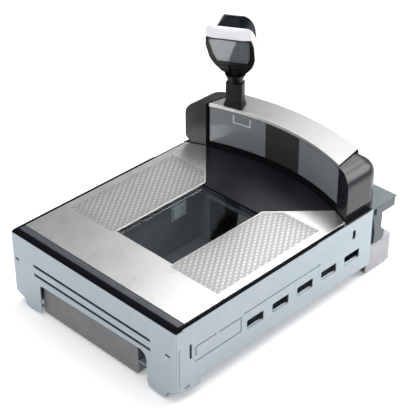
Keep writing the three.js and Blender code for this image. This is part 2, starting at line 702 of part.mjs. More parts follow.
for (const [side, sign] of SIDES) {
  let cap = cut(capBlock(0, 1.2), capBlock(CAP.wall, -6));
  if (side === "right") {
    cap = cut(cap, ...BUTTONS.map(({ x, z }) => inFace(plunger(0.35, BUTTON.travel), x, z)));
  }
  add(`end_cap_${side}`, onSide(cap, sign), capPlastic);
}
for (const { name, x, z } of BUTTONS) add(name, inFace(plunger(0), x, z), blackPlastic);

const speaker = join(cylinder(11, -3, 3, 20), cylinder(7, -8, -2.5, 16)).rotate([-90, 0, 0]);
place(add("speaker", speaker, blackPlastic), 122, 146, 150, 0, 0);

// ---- pole and scan head ----
const pole = new THREE.Group();
pole.position.set(POLE.x, POLE.y, 0);
pole.rotation.z = THREE.MathUtils.degToRad(POLE.facing);
model.add(pole);

const poleBase = () => {
  const w = POLE.width / 2;
  const d = POLE.depth / 2;
  const flange = (grow, z0, z1) =>
    standing(roundRect(-w - grow, w + grow, -d - grow, d + grow, 4 + grow), TOWER_Z1 + z0, TOWER_Z1 + z1, 4);
  return join(flange(2.4, 0.3, 2.6), flange(0.8, 2, 7));
};
add("pole_base", poleBase(), darkPlastic, pole);

const column = roundRect(-POLE.width / 2, POLE.width / 2, -POLE.depth / 2, POLE.depth / 2, 4);
add("pole", standing(column, TOWER_Z1 + 7.4, POLE.top, 4), darkPlastic, pole);

// The head is built facing -Y with its swivel axis at the origin, then turned.
const head = new THREE.Group();
head.position.set(POLE.x, POLE.y, 0);
head.rotation.z = THREE.MathUtils.degToRad(HEAD_FACING);
model.add(head);

const KNUCKLE_R = 7;
const PIN_R = 2;
const acrossX = (radius, half, sides) => cylinder(radius, -half, half, sides).rotate([0, 90, 0]);

function swivelYoke() {
  const flare = new THREE.LatheGeometry(
    [
      [0, GAP],
      [10.4, GAP],
      [10.9, 4],
      [12.4, 8.5],
      [14.6, 12.4],
      [13.8, 13.2],
      [0, 13.2],
    ].map(([r, z]) => new THREE.Vector2(r, z)),
    28,
  ).rotateX(Math.PI / 2);
  const stem = box(-5.5, 5.5, -6, 6, POLE.top + 11, TILT_Z - 3);
  const knuckle = acrossX(KNUCKLE_R, 5.5, 20).translate([0, 0, TILT_Z]);
  const bore = acrossX(PIN_R + 0.1, 10, 16).translate([0, 0, TILT_Z]);
  return cut(join(solid(flare).translate([0, 0, POLE.top]), stem, knuckle), bore);
}
add("swivel_yoke", swivelYoke(), blackPlastic, head);
add("tilt_pin", acrossX(PIN_R - 0.1, 9, 16).translate([0, 0, TILT_Z]), stainless, head);

// The head leans out over the platter: its sight face runs from the chin up to the brow.
const HEAD = { half: 33, chinZ: 224.5, seamZ: 240, browZ: 293, topZ: 315, front: -46, back: 14 };
const CHIN = [-9, 232];
const BROW = [-44, HEAD.browZ];
const HEAD_CENTRE = [0, -16, 271];

function headSide() {
  const s = new THREE.Shape();
  s.moveTo(7, HEAD.chinZ);
  s.quadraticCurveTo(HEAD.back, 239, HEAD.back, 259);
  s.bezierCurveTo(HEAD.back, 284, 2, HEAD.topZ - 2, -18, HEAD.topZ);
  s.quadraticCurveTo(-28, HEAD.topZ, -36, HEAD.topZ - 3);
  s.quadraticCurveTo(HEAD.front, HEAD.topZ - 5, HEAD.front, HEAD.topZ - 12);
  s.lineTo(HEAD.front, HEAD.browZ + 2);
  s.lineTo(...BROW);
  s.lineTo(...CHIN);
  s.quadraticCurveTo(-9, HEAD.chinZ, -3, HEAD.chinZ);
  return s;
}

// The head seen from the front, drawn in by inset.
function headFront(inset) {
  const w = HEAD.half - inset;
  const foot = HEAD.chinZ + inset;
  const top = HEAD.topZ + 1 - inset;
  const s = new THREE.Shape();
  s.moveTo(12, foot);
  s.bezierCurveTo(w - 12, foot + 6, w - 6, foot + 14, w - 2.5, foot + 30);
  s.lineTo(w, top - 23);
  s.quadraticCurveTo(w - 1, top - 3, w - 19, top);
  s.lineTo(-w + 19, top);
  s.quadraticCurveTo(-w + 1, top - 3, -w, top - 23);
  s.lineTo(-w + 2.5, foot + 30);
  s.bezierCurveTo(-w + 6, foot + 14, -w + 12, foot + 6, -12, foot);
  return s;
}

// The head seen from above: a little narrower at its face than behind it.
function headPlan() {
  const w = HEAD.half;
  const face = w - 3;
  const s = new THREE.Shape();
  s.moveTo(-face, -41);
  s.quadraticCurveTo(0, -51.5, face, -41);
  s.quadraticCurveTo(w, -35, w, -24);
  s.lineTo(w, -12);
  s.bezierCurveTo(w - 1, 2, 24, HEAD.back + 1, 8, HEAD.back + 1);
  s.lineTo(-8, HEAD.back + 1);
  s.bezierCurveTo(-24, HEAD.back + 1, -w + 1, 2, -w, -12);
  s.lineTo(-w, -24);
  s.quadraticCurveTo(-w, -35, -face, -41);
  return s;
}

const headForm = alongX(headSide(), -40, 40, 6)
  .intersect(alongY(headFront(0), -60, 30, 6))
  .intersect(standing(headPlan(), 215, 330, 6));

// The form drawn in by about a wall's thickness.
function within(wall) {
  const scale = [1 - wall / HEAD.half, 1 - wall / 30, 1 - wall / 45];
  return headForm
    .translate(HEAD_CENTRE.map((v) => -v))
    .scale(scale)
    .translate(HEAD_CENTRE);
}

// Everything in front of a sloping plane through two points given as Y and Z.
function before([y0, z0], [y1, z1]) {
  const at = (z) => y0 + ((z - z0) * (y1 - y0)) / (z1 - z0);
  return alongX(outline([[-80, 340], [-80, 210], [at(210), 210], [at(340), 340]]), -60, 60);
}
const beforeSight = (depth) => before([CHIN[0] + depth, CHIN[1]], [BROW[0] + depth, BROW[1]]);
const FACE_DEPTH = 2.6;
const CORE_FACE_DEPTH = 9;
const aboveSeam = box(-60, 60, -60, 60, HEAD.seamZ, 340);

// The bezel's rear edge slopes more than its face, so the bezel is deeper low down.
const beforeBezelRear = (extra) => before([7 + extra, HEAD.seamZ], [-41 + extra, 308]);
const BEZEL_WALL = 3;

// The domed cover behind the bezel is narrower than the bezel: its outline from behind.
function domeForm(inset) {
  const w = HEAD.half - 2 - inset;
  const z = HEAD.chinZ;
  const top = HEAD.topZ + 1 - inset;
  const shoulder = 20 - inset;
  const s = new THREE.Shape();
  s.moveTo(12, z);
  s.bezierCurveTo(w - 12, z + 6, w - 6, z + 14, w - 2.5, z + 30);
  s.lineTo(w - 3, z + 40);
  s.bezierCurveTo(w - 6, z + 66, shoulder, top, 0, top);
  s.bezierCurveTo(-shoulder, top, -w + 6, z + 66, -w + 3, z + 40);
  s.lineTo(-w + 2.5, z + 30);
  s.bezierCurveTo(-w + 6, z + 14, -w + 12, z + 6, -12, z);
  return alongY(s, -60, 30, 7);
}

// the opening in the bezel that the sight window fills
const sight = (inset) =>
  alongY(headFront(3.2 + inset), -80, 20, 6).intersect(
    box(-60, 60, -80, 20, HEAD.seamZ + 4 + inset, HEAD.browZ - inset),
  );

// the pale ring: the brow, the sides, and a rear wall that closes it round the dome
function headBezel() {
  const ring = headForm.intersect(beforeBezelRear(0)).intersect(aboveSeam);
  const face = box(-60, 60, -80, 20, 0, HEAD.browZ).intersect(beforeSight(FACE_DEPTH + GAP));
  const hollow = within(BEZEL_WALL).intersect(beforeBezelRear(-BEZEL_WALL));
  const opening = within(BEZEL_WALL).intersect(domeForm(2.6));
  return cut(ring, hollow, opening, face, sight(1.5).intersect(beforeSight(CORE_FACE_DEPTH)));
}
add("head_bezel", headBezel(), whiteShell, head);

// the black cover behind the bezel, domed over the top
function headRear() {
  const outer = within(1).intersect(domeForm(0)).intersect(aboveSeam);
  return cut(outer, beforeBezelRear(GAP), within(3.6).intersect(domeForm(2.6)));
}
add("head_rear_cover", headRear(), blackPlastic, head);

// the black face that holds the sight window
function sightFrame() {
  const zone = box(-60, 60, -80, 20, HEAD.seamZ, HEAD.browZ - GAP);
  return cut(headForm.intersect(beforeSight(FACE_DEPTH)).intersect(zone), sight(2.6));
}
add("sight_frame", sightFrame(), blackPlastic, head);

const sightWindow = () => cut(sight(3).intersect(beforeSight(FACE_DEPTH)), beforeSight(0.6));
add("head_window", sightWindow().intersect(headForm), tintedGlass, head);

// the black core: chin, slot for the yoke, and a pocket behind the window for the camera
function headCore() {
  const chin = headForm.intersect(box(-60, 60, -60, 60, 200, HEAD.seamZ - GAP));
  const zone = box(-60, 60, -60, 60, HEAD.seamZ - 10, HEAD.browZ - 4);
  const inner = within(4).intersect(zone);
  const face = cut(inner.intersect(beforeSight(CORE_FACE_DEPTH)), beforeSight(FACE_DEPTH + GAP));
  const rear = cut(inner.intersect(domeForm(3.4)), beforeSight(CORE_FACE_DEPTH - 1));
  const body = join(face, rear);
  const pocket = box(-19, 19, -80, 2, 250, 286);
  const slot = box(-6.2, 6.2, -30, 30, 200, TILT_Z + 9);
  const pinHole = acrossX(PIN_R + 0.3, 10, 16).translate([0, 0, TILT_Z]);
  return cut(join(chin, body), pocket, slot, pinHole);
}
add("head_core", headCore(), blackPlastic, head);

place(add("head_camera", cameraBlock(26, 9, 22), lensBlack, head), 0, -14, 270, 30, 0);

model.position.y = -(FRONT_Y + BACK_Y) / 2;

export default model;
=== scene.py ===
"""Looks for an in-counter checkout scanner with a window in its platter, a curved tower of
windows behind it and a small sight head on a pole. Metres, +Z up, front towards -Y."""

import math

import bmesh
import bpy
from mathutils import Matrix, Vector


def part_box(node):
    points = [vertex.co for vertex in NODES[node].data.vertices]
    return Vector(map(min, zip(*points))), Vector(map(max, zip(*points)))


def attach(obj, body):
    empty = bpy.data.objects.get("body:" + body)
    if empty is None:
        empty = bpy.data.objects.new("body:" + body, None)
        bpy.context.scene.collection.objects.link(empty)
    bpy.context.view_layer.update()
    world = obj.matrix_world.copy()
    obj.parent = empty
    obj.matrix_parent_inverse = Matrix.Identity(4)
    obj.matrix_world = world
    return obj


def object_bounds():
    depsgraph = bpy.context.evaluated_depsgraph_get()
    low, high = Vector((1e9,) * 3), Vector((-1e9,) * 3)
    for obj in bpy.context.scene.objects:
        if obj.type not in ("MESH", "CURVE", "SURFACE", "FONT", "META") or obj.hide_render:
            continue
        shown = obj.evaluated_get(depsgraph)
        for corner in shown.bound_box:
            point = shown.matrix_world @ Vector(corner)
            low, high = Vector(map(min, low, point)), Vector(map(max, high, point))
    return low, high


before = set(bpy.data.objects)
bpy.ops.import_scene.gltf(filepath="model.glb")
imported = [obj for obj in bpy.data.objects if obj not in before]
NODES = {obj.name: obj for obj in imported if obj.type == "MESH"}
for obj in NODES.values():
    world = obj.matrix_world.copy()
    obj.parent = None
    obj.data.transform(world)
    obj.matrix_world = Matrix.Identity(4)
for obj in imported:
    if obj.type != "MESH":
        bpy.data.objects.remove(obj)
CAD_LOW, CAD_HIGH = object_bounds()
MM = 0.001


# ---- camera, floor and lights ----
CENTRE = (CAD_LOW + CAD_HIGH) / 2
AIM_FROM_CENTRE = Vector((17, -31.5, -19)) * MM
AIM = CENTRE + AIM_FROM_CENTRE
AZIMUTH, ELEVATION, ROLL = map(math.radians, (44.81, 33.57, -0.24))
CAMERA_DISTANCE = 1.66
CLIP_START = 0.05
LENS_MM = 116.1


def direction(azimuth, elevation):
    """The way a camera looks, from its azimuth and its height above the horizon."""
    flat = math.cos(elevation)
    return Vector((-math.sin(azimuth) * flat, math.cos(azimuth) * flat, -math.sin(elevation)))


def look_along(obj, forward, roll=0.0):
    """Turns an object so that its -Z axis points along forward."""
    right = forward.cross(Vector((0, 0, 1))).normalized()
    up = right.cross(forward)
    side = right * math.cos(roll) + up * math.sin(roll)
    above = side.cross(forward)
    obj.rotation_mode = "QUATERNION"
    obj.rotation_quaternion = Matrix((side, above, -forward)).transposed().to_quaternion()


def add_camera():
    camera = bpy.data.objects.new("camera", bpy.data.cameras.new("camera"))
    forward = direction(AZIMUTH, ELEVATION)
    camera.location = AIM - forward * CAMERA_DISTANCE
    look_along(camera, forward, ROLL)
    camera.data.lens = LENS_MM
    camera.data.clip_start = CLIP_START
    bpy.context.scene.collection.objects.link(camera)
    bpy.context.scene.camera = camera


# name: azimuth and elevation of its beam in degrees, distance and side in metres, power in watts
LIGHTS = {
    "overhead": (0, 89.9, 2.2, 2.5, 52),
    "sweep_low": (200, 43, 2.2, 1.2, 16),
    "sweep_high": (204, 55, 2.2, 1.2, 11),
    "side_fill": (144, 30, 0.8, 0.5, 5.5),
    "front_key": (0, 35, 2.2, 0.8, 15),
}


def add_light(name, azimuth, elevation, distance, side, power):
    """A soft square lamp that shines at the object from a compass direction."""
    lamp = bpy.data.lights.new(name, "AREA")
    lamp.shape = "SQUARE"
    lamp.size = side
    lamp.energy = power
    obj = bpy.data.objects.new(name, lamp)
    forward = direction(math.radians(azimuth), math.radians(elevation))
    obj.location = CENTRE - forward * distance
    look_along(obj, forward)
    bpy.context.scene.collection.objects.link(obj)


FLOOR_HALF = 30.0
FLOOR_GAP = 0.2 * MM
FLOOR_GLOW = 0.26
WORLD_COLOUR = (0.93, 0.96, 1.0)
WORLD_STRENGTH = 0.25


def add_floor():
    """A pale floor that glows a little, so that the shadows on it stay light."""
    bm = bmesh.new()
    bmesh.ops.create_grid(bm, x_segments=2, y_segments=2, size=FLOOR_HALF)
    mesh = bpy.data.meshes.new("floor")
    bm.to_mesh(mesh)
    bm.free()
    floor = bpy.data.objects.new("floor", mesh)
    floor.location.z = CAD_LOW.z - FLOOR_GAP
    paper = Surface("floor_paper", Base_Color=(0.76, 0.76, 0.765, 1), Roughness=0.9)
    paper.set("Emission Color", (1, 1, 1, 1))
    paper.set("Emission Strength", FLOOR_GLOW)
    mesh.materials.append(paper.material)
    bpy.context.scene.collection.objects.link(floor)


def add_world():
    world = bpy.data.worlds.new("studio")
    world.use_nodes = True
    background = world.node_tree.nodes["Background"]
    background.inputs["Color"].default_value = (*WORLD_COLOUR, 1)
    background.inputs["Strength"].default_value = WORLD_STRENGTH
    bpy.context.scene.world = world


# ---- materials ----
# the part of a noise pattern's 0-1 range that most of its values fall in
NOISE_RANGE = (0.3, 0.7)


class Surface:
    """A Principled material with short calls to add and join shader nodes."""

    def __init__(self, name, **plain_values):
        self.material = bpy.data.materials.new(name)
        self.material.use_nodes = True
        self.tree = self.material.node_tree
        self.shader = self.tree.nodes["Principled BSDF"]
        self.place = self.node("ShaderNodeTexCoord").outputs["Object"]
        for socket, value in plain_values.items():
            self.set(socket.replace("_", " "), value)

    def set(self, socket, value):
        self.shader.inputs[socket].default_value = value

    def join(self, output, socket):
        self.tree.links.new(output, self.shader.inputs[socket])

    def node(self, kind, settings=None, **sockets):
        made = self.tree.nodes.new(kind)
        for name, value in (settings or {}).items():
            setattr(made, name, value)
        for name, value in sockets.items():
            socket = made.inputs[name.replace("_", " ")]
            if isinstance(value, bpy.types.NodeSocket):
                self.tree.links.new(value, socket)
            else:
                socket.default_value = value
        return made

    def stretched(self, scale):
        """Object coordinates scaled by a different amount along each axis."""
        return self.node("ShaderNodeMapping", Vector=self.place, Scale=scale).outputs["Vector"]

    def noise(self, scale, detail, stretch=(1, 1, 1)):
        where = self.stretched(stretch)
        made = self.node("ShaderNodeTexNoise", Vector=where, Scale=scale, Detail=detail)
        return made.outputs["Fac"]

    def spread(self, value, low, high):
        """Turns a noise pattern into numbers between low and high."""
        made = self.node(
            "ShaderNodeMapRange",
            Value=value,
            From_Min=NOISE_RANGE[0],
            From_Max=NOISE_RANGE[1],
            To_Min=low,
            To_Max=high,
        )
        return made.outputs["Result"]

    def tint(self, pattern, dark, light):
        """Mixes two colours by a pattern and joins the result to the base colour."""
        mix = self.tree.nodes.new("ShaderNodeMix")
        mix.data_type = "RGBA"
        self.tree.links.new(pattern, mix.inputs["Factor"])
        # a mix node's colour sockets come after its number and vector sockets
        mix.inputs[6].default_value = (*dark, 1)
        mix.inputs[7].default_value = (*light, 1)
        self.join(mix.outputs[2], "Base Color")

    def bump(self, height, distance, strength):
        made = self.node("ShaderNodeBump", Height=height, Distance=distance, Strength=strength)
        self.join(made.outputs["Normal"], "Normal")


def shade(colour, factor):
    return tuple(min(1.0, c * factor) for c in colour)


BRUSH_STRETCH = {"y": (1, 0.02, 1), "x": (0.02, 1, 1)}
BRUSH_SCALE = 2600
BRUSH_CONTRAST = 0.03
BRUSH_ROUGHNESS = 0.03
WEAR_ROUGHNESS = 0.012


def brushed(name, colour, rough, along="y"):
    """Sheet steel brushed in one direction, with slow patches of wear."""
    surface = Surface(name, Metallic=1.0)
    grain = surface.noise(BRUSH_SCALE, 2, BRUSH_STRETCH[along])
    wear = surface.noise(30, 4)
    darker, lighter = shade(colour, 1 - BRUSH_CONTRAST), shade(colour, 1 + BRUSH_CONTRAST)
    surface.tint(surface.spread(grain, 0, 1), darker, lighter)
    rough_grain = surface.node(
        "ShaderNodeMath",
        {"operation": "ADD"},
        Value=surface.spread(grain, -BRUSH_ROUGHNESS, BRUSH_ROUGHNESS),
    )
    patches = surface.spread(wear, rough - WEAR_ROUGHNESS, rough + WEAR_ROUGHNESS)
    surface.tree.links.new(patches, rough_grain.inputs[1])
    surface.join(rough_grain.outputs[0], "Roughness")
    surface.bump(grain, 0.01 * MM, 0.08)
    return surface.material


ZINC_METALLIC = 0.55
ZINC_CRYSTALS = 160.0


def galvanised(name, colour, rough):
    """Zinc-coated sheet: soft crystal patches and a light grain."""
    surface = Surface(name, Metallic=ZINC_METALLIC)
    crystal = surface.node(
        "ShaderNodeTexVoronoi",
        {"feature": "F1", "distance": "EUCLIDEAN"},
        Vector=surface.place,
        Scale=ZINC_CRYSTALS,
    )
    patches = surface.node("ShaderNodeSeparateColor", Color=crystal.outputs["Color"]).outputs[0]
    surface.tint(patches, shade(colour, 0.975), shade(colour, 1.025))
    surface.join(surface.spread(surface.noise(60, 4), rough - 0.04, rough + 0.04), "Roughness")
    surface.bump(surface.noise(900, 2), 0.03 * MM, 0.3)
    return surface.material


def moulded(name, colour, rough, grain=1400, depth=0.04 * MM, variation=0.12, ior=1.45):
    """Moulded plastic with a fine spark-eroded grain."""
    surface = Surface(name, IOR=ior)
    patches = surface.noise(45, 3)
    surface.tint(surface.spread(patches, 0, 1), shade(colour, 1 - variation), shade(colour, 1 + variation))
    surface.join(surface.spread(patches, rough - 0.04, rough + 0.05), "Roughness")
    surface.bump(surface.noise(grain, 2), depth, 0.6)
    return surface.material


GLASS_BASE_MIRROR = 0.03
GRAZING_POWER = 5.0


def window_glass(name, tint, mirror=0.02, painted_reflection=0.0, painted_reflection_colour=(0.2, 0.21, 0.22)):
    """A thin tinted pane: it lets light straight through, mirrors what is in front of it, and may
    carry a pale matt film that is a painted reflection, making the pane look grey and light."""
    surface = Surface(name, Base_Color=(*painted_reflection_colour, 1), Roughness=0.35)
    clear = surface.node("ShaderNodeBsdfTransparent", Color=(*tint, 1))
    # the mirror share rises towards grazing angles, the same way from both faces
    away = surface.node("ShaderNodeLayerWeight", Blend=0.5).outputs["Facing"]
    steep = surface.node("ShaderNodeMath", {"operation": "POWER"}, Value=away)
    steep.inputs[1].default_value = GRAZING_POWER
    low_mirror, high_mirror = (GLASS_BASE_MIRROR + mirror * part for part in (0.8, 1.2))
    smear = surface.spread(surface.noise(18, 3), low_mirror, high_mirror)
    share = surface.node("ShaderNodeMath", {"operation": "ADD", "use_clamp": True})
    surface.tree.links.new(steep.outputs[0], share.inputs[0])
    surface.tree.links.new(smear, share.inputs[1])
    gloss = surface.node("ShaderNodeBsdfGlossy", Color=(0.95, 0.97, 1.0, 1), Roughness=0.02)
    mix = surface.node("ShaderNodeMixShader", Fac=share.outputs[0])
    surface.tree.links.new(clear.outputs[0], mix.inputs[1])
    surface.tree.links.new(gloss.outputs[0], mix.inputs[2])
    # the pale film is a painted reflection; its share varies a little over the pane
    reflection_patches = surface.spread(surface.noise(25, 3), painted_reflection * 0.93, painted_reflection * 1.07)
    with_reflection = surface.node("ShaderNodeMixShader", Fac=reflection_patches)
    surface.tree.links.new(mix.outputs[0], with_reflection.inputs[1])
    surface.tree.links.new(surface.shader.outputs[0], with_reflection.inputs[2])
    output = surface.tree.nodes["Material Output"]
    surface.tree.links.new(with_reflection.outputs[0], output.inputs["Surface"])
    return surface.material


ZINC = galvanised("zinc", (0.36, 0.41, 0.445), 0.45)
STEEL = brushed("stainless", (0.72, 0.715, 0.70), 0.30)
# the dotted zone and its dots are darker copies of the stainless: painted shade of the pressed texture
ZONE_SHADE_STEEL = brushed("stainless_zone_painted_shade", (0.285, 0.285, 0.28), 0.46)
DOT_SHADE_STEEL = brushed("stainless_dots_painted_shade", (0.42, 0.42, 0.41), 0.45)
TOP_STEEL = brushed("stainless_top", (0.34, 0.34, 0.335), 0.30, "x")
# the lip's steel is far lighter than the cover's: a painted highlight along the rolled edge
LIP_HIGHLIGHT_STEEL = brushed("stainless_lip_painted_highlight", (0.80, 0.80, 0.80), 0.38, "x")
SCREW_ZINC = brushed("screw_zinc", (0.55, 0.56, 0.57), 0.35)
SCREW_DARK = moulded("screw_dark", (0.02, 0.02, 0.022), 0.35)
RIM_GREY = moulded("rim_grey", (0.58, 0.60, 0.61), 0.4, variation=0.05)
DARK_STEEL = galvanised("dark_steel", (0.10, 0.117, 0.121), 0.5)
RUBBER = moulded("rubber", (0.003, 0.003, 0.004), 0.8, 800, ior=1.12)
DARK_PLASTIC = moulded("dark_plastic", (0.005, 0.006, 0.009), 0.36, ior=1.28)
TRIM_PLASTIC = moulded("trim_plastic", (0.045, 0.049, 0.060), 0.30, ior=1.45)
CAP_PLASTIC = moulded("cap_plastic", (0.011, 0.0105, 0.014), 0.28)
BLACK_PLASTIC = moulded("black_plastic", (0.005, 0.005, 0.006), 0.34, ior=1.28)
DOME_BLACK = moulded("dome_black", (0.0015, 0.004, 0.006), 0.26, depth=0.01 * MM, ior=1.10)
PANEL_BROWN = moulded("panel_brown", (0.034, 0.032, 0.032), 0.4, ior=1.4)
GREY_HOUSING = moulded("grey_housing", (0.15, 0.152, 0.156), 0.5)
REAR_GREY = moulded("rear_grey", (0.36, 0.35, 0.37), 0.5)
WHITE_SHELL = moulded("white_shell", (0.82, 0.80, 0.83), 0.35, variation=0.02)
# the rear mirror gets this plain brownish grey in place of a mirror finish: a painted reflection
REAR_MIRROR_REFLECTION_GREY = moulded("rear_mirror_painted_reflection", (0.36, 0.345, 0.32), 0.35)
WELL_GREY = moulded("well_grey", (0.125, 0.14, 0.15), 0.45, depth=0.01 * MM)
POLE_BLACK = moulded("pole_black", (0.010, 0.010, 0.010), 0.45, ior=1.35)
LENS_BLACK = moulded("lens_black", (0.004, 0.004, 0.005), 0.2)
LAMP_WHITE = moulded("lamp_white", (0.60, 0.68, 0.68), 0.4, variation=0.04)
BOARD_GREEN = moulded("board_green", (0.012, 0.06, 0.034), 0.45)
PLATTER_GLASS = window_glass("platter_glass", (0.93, 0.95, 0.96))
# the tower's and the head's panes carry the pale film as a painted reflection
TOWER_GLASS = window_glass("tower_glass", (0.75, 0.77, 0.79), 0.04, 0.6, (0.30, 0.32, 0.335))
HEAD_GLASS = window_glass("head_glass", (0.8, 0.83, 0.85), 0.12, 0.4, (0.26, 0.29, 0.30))
MIRROR = Surface("mirror", Base_Color=(0.55, 0.58, 0.58, 1), Metallic=1.0, Roughness=0.05).material

FINISHES = [
    (ZINC, ["front_panel", "side_panel_left", "side_panel_right", "rear_panel", "floor_pan"]),
    (GREY_HOUSING, ["lower_housing"]),
    (REAR_GREY, ["rear_housing"]),
    (BLACK_PLASTIC, ["power_socket", "data_socket", "window_frame", "tower_base", "tower_frame"]),
    (BLACK_PLASTIC, ["speaker", "swivel_yoke", "sight_frame", "head_core", "tilt_pin"]),
    (BLACK_PLASTIC, ["volume_button", "tone_button"]),
    (PANEL_BROWN, ["tower_centre_panel"]),
    (DOME_BLACK, ["head_rear_cover"]),
    (DARK_STEEL, ["rear_shelf", "rear_hanger_left", "rear_hanger_right", "platter_carrier"]),
    (RUBBER, ["foot_front_left", "foot_front_right", "foot_rear_left", "foot_rear_right"]),
    (RUBBER, ["front_gasket", "side_gasket_left", "side_gasket_right"]),
    (RUBBER, ["platter_pad_front_left", "platter_pad_front_right"]),
    (RUBBER, ["platter_pad_rear_left", "platter_pad_rear_right"]),
    (TRIM_PLASTIC, ["front_trim"]),
    (DARK_PLASTIC, ["platter_rear_cover"]),
    (WELL_GREY, ["optics_well"]),
    (POLE_BLACK, ["pole_base", "pole"]),
    (STEEL, ["platter_plate"]),
    (TOP_STEEL, ["tower_top_cover"]),
    (PLATTER_GLASS, ["platter_window"]),
    (TOWER_GLASS, ["tower_window_left", "tower_window_right"]),
    (HEAD_GLASS, ["head_window"]),
    (MIRROR, ["tower_mirror_left", "tower_mirror_right"]),
    (REAR_MIRROR_REFLECTION_GREY, ["rear_mirror"]),
    (LENS_BLACK, ["well_camera", "tower_camera", "head_camera"]),
    (LAMP_WHITE, ["well_lamp", "tower_lamp"]),
    (BOARD_GREEN, ["main_board"]),
    (CAP_PLASTIC, ["tower_rear_shell", "end_cap_left", "end_cap_right"]),
    (WHITE_SHELL, ["head_bezel"]),
]


# bevel radii in millimetres
SOFT_EDGES = {"end_cap_left": 0.8, "end_cap_right": 0.8, "head_bezel": 0.7, "head_rear_cover": 0.7}
EDGE_RADIUS = 0.3
WELD_DISTANCE = 0.01 * MM
FLAT_ANGLE = math.radians(0.4)
PANES = ["platter_window", "tower_window_left", "tower_window_right", "head_window"]
SHARP_ANGLE = math.radians(32)


def soften(node, radius):
    """Rounds a node's edges a little and shades its curves smooth, with its mesh left as it is."""
    node.data.polygons.foreach_set("use_smooth", [True] * len(node.data.polygons))
    if "custom_normal" in node.data.attributes:
        node.data.attributes.remove(node.data.attributes["custom_normal"])
    weld = node.modifiers.new("weld", "WELD")
    weld.merge_threshold = WELD_DISTANCE
    flat = node.modifiers.new("flatten", "DECIMATE")
    flat.decimate_type = "DISSOLVE"
    flat.angle_limit = FLAT_ANGLE
    bevel = node.modifiers.new("edges", "BEVEL")
    bevel.width = radius
    bevel.segments = 2
    bevel.limit_method = "ANGLE"
    bevel.angle_limit = SHARP_ANGLE
    bevel.harden_normals = False
    normals = node.modifiers.new("normals", "WEIGHTED_NORMAL")
    normals.keep_sharp = True


def finish_nodes():
    """Gives every CAD node its material and softens its edges."""
    for material, names in FINISHES:
        for name in names:
            node = NODES[name]
            for slot in node.material_slots:
                slot.material = material
            if name not in PANES:
                soften(node, SOFT_EDGES.get(name, EDGE_RADIUS) * MM)


# ---- pieces ----
def piece(name, bm, material, body, smooth=True):
    """Makes a piece of a bmesh in frame coordinates, riding on a CAD body."""
    bmesh.ops.recalc_face_normals(bm, faces=bm.faces)
    mesh = bpy.data.meshes.new(name)
    bm.to_mesh(mesh)
    bm.free()
    mesh.materials.append(material)
    mesh.polygons.foreach_set("use_smooth", [smooth] * len(mesh.polygons))
    if smooth:
        mesh.set_sharp_from_angle(angle=SHARP_ANGLE)
    obj = bpy.data.objects.new(name, mesh)
    bpy.context.scene.collection.objects.link(obj)
    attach(obj, body)


def ring_body(bm, rings):
    """Joins rings of points into one closed body; the first and last rings are capped."""
    rows = [[bm.verts.new(point) for point in ring] for ring in rings]
    for low, high in zip(rows, rows[1:]):
        for i in range(len(low)):
            j = (i + 1) % len(low)
            bm.faces.new((low[i], low[j], high[j], high[i]))
    bm.faces.new(rows[0][::-1])
    bm.faces.new(rows[-1])


def circle(centre, across, up, radius, sides):
    """Points round a circle in the plane of two unit vectors."""
    turns = [2 * math.pi * i / sides for i in range(sides)]
    return [centre + (across * math.cos(t) + up * math.sin(t)) * radius for t in turns]


DOT_PITCH = 7.8 * MM
DOT_ROW = 5.55 * MM
DOT_LONG = 3.2 * MM
DOT_WIDE = 2.1 * MM
DOT_HEIGHT = 0.1 * MM
DOT_ALONG = Vector((-DOT_PITCH / 2, DOT_ROW, 0)).normalized()
DOT_ACROSS = DOT_ALONG.cross(Vector((0, 0, 1)))
# (share of the half-length, share of the height) from the buried rim to the crown
DOT_PROFILE = ((1.0, -0.4), (1.0, 0.0), (0.86, 0.30), (0.62, 0.66), (0.34, 0.90), (0.1, 1.0))
DOT_SIDES = 12
# a dot in the zone's outer row, and what each row further in adds, as shares of a whole one
DOT_BORDER_SIZE = 0.64
DOT_SIZE_STEP = 0.12

# from the window's side, from the platter's edge, before the window's front and past its rear
ZONE_FROM_WINDOW = 5 * MM
ZONE_FROM_EDGE = 8 * MM
ZONE_BEFORE_WINDOW = 4 * MM
ZONE_PAST_WINDOW = 30 * MM
ZONE_BORDER = 2.4 * MM
ZONE_LEVELS = (-0.05 * MM, 0.03 * MM)
# where the dark cover's 45 degree edge starts, from the window's side and the cover's front
COVER_CORNER_X = 1 * MM
COVER_CORNER_Y = 6 * MM
# how far the zone and the middle of a dot stay from that edge, measured along Y
ZONE_FROM_COVER = 0.9 * DOT_LONG
DOT_FROM_COVER = 2.2 * DOT_LONG


def add_dot(bm, centre, size):
    """A low closed oval dome whose underside lies just below the surface it stands on."""
    rings = []
    for share, rise in DOT_PROFILE:
        middle = centre + Vector((0, 0, DOT_HEIGHT * rise))
        long_way, wide_way = DOT_ALONG * DOT_LONG, DOT_ACROSS * DOT_WIDE
        rings.append(circle(middle, long_way, wide_way, share * size, DOT_SIDES))
    ring_body(bm, rings)


